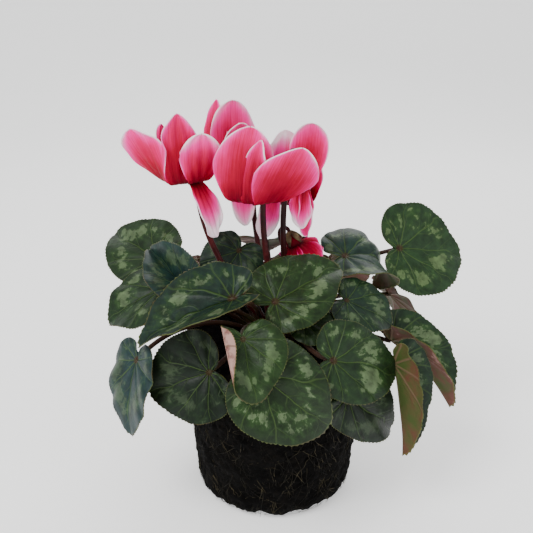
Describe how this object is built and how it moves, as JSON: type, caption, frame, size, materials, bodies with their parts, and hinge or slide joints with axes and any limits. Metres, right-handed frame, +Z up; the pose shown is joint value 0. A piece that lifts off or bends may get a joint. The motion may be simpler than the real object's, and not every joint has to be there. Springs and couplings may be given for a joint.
{
  "type": "potted cyclamen plant",
  "caption": "Cyclamen plant on a bare tapered root ball, with heart-shaped marbled leaves in a low mound and swept-back blooms on hooked stems above it.",
  "frame": {"origin": "middle of the root ball's flat underside", "axes": "+Z up; -Y the front of the plant, the side seen in the picture"},
  "size_m": [0.1949, 0.152, 0.2],
  "materials": {
    "peat": "rough damp near-black peat held by fine tan roots",
    "corm": "dull brown corky skin",
    "leaf": "semi-matt dark green, marbled paler green, on fleshy reddish-green stalks",
    "petal": "satin crimson, fading to pale pink at the edges",
    "stem": "semi-matt dark red-brown"
  },
  "bodies": {
    "root": {"root_ball": "peat", "corm": "corm", "leaf_01": "leaf", "leaf_02": "leaf", "leaf_03": "leaf", "leaf_04": "leaf", "leaf_05": "leaf", "leaf_06": "leaf", "leaf_07": "leaf", "leaf_08": "leaf", "leaf_09": "leaf", "leaf_10": "leaf", "leaf_11": "leaf", "leaf_12": "leaf", "leaf_13": "leaf", "leaf_14": "leaf", "leaf_15": "leaf", "leaf_16": "leaf", "leaf_17": "leaf", "leaf_18": "leaf", "leaf_19": "leaf", "leaf_20": "leaf", "leaf_21": "leaf", "leaf_22": "leaf", "leaf_23": "leaf", "leaf_24": "leaf", "bloom_1": "petal", "bloom_2": "petal", "bloom_3": "petal", "bloom_4": "petal", "bloom_5": "petal", "bud_1": "petal", "bloom_1_stem": "stem", "bloom_2_stem": "stem", "bloom_3_stem": "stem", "bloom_4_stem": "stem", "bloom_5_stem": "stem", "bud_1_stem": "stem"}
  },
  "joints": []
}
